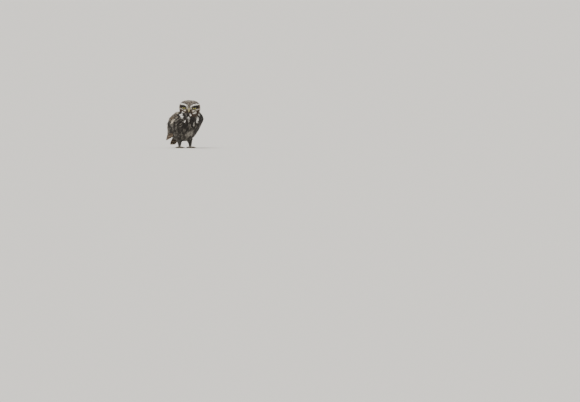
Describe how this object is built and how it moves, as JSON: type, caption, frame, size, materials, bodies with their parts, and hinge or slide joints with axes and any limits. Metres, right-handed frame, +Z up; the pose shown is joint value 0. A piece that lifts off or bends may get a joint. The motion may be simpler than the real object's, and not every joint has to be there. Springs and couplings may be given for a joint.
{
  "type": "little owl",
  "caption": "Life-size little owl standing on both feet, breast forward and head turned to its right, wings folded over a short tail.",
  "frame": {"origin": "on the floor, under the middle of the whole bird's outline", "axes": "+Z up, the breast faces -Y, the owl's left side is +X"},
  "size_m": [0.1258, 0.1496, 0.1777],
  "materials": {
    "plumage": "soft matte body feathers, dark brown with white spots and streaks",
    "flight_feathers": "matte flight feathers with a slight sheen, dark brown with pale bars",
    "leg_feathers": "short dense pale leg feathers",
    "toe_skin": "dry scaly toe skin",
    "claw": "dark horn, half gloss",
    "bill": "yellowish horn, half gloss",
    "eye": "wet clear cornea over a yellow iris and a black pupil"
  },
  "bodies": {
    "root": {"head": "plumage", "eye_left": "eye", "eye_right": "eye", "bill_upper": "bill", "bill_lower": "bill", "neck": "plumage", "torso": "plumage", "wing_left": "flight_feathers", "wing_right": "flight_feathers", "tail": "flight_feathers", "leg_left": "leg_feathers", "leg_right": "leg_feathers", "foot_left": "toe_skin", "foot_right": "toe_skin", "claw_left_inner": "claw", "claw_left_middle": "claw", "claw_left_outer": "claw", "claw_left_hind": "claw", "claw_right_inner": "claw", "claw_right_middle": "claw", "claw_right_outer": "claw", "claw_right_hind": "claw"}
  },
  "joints": []
}
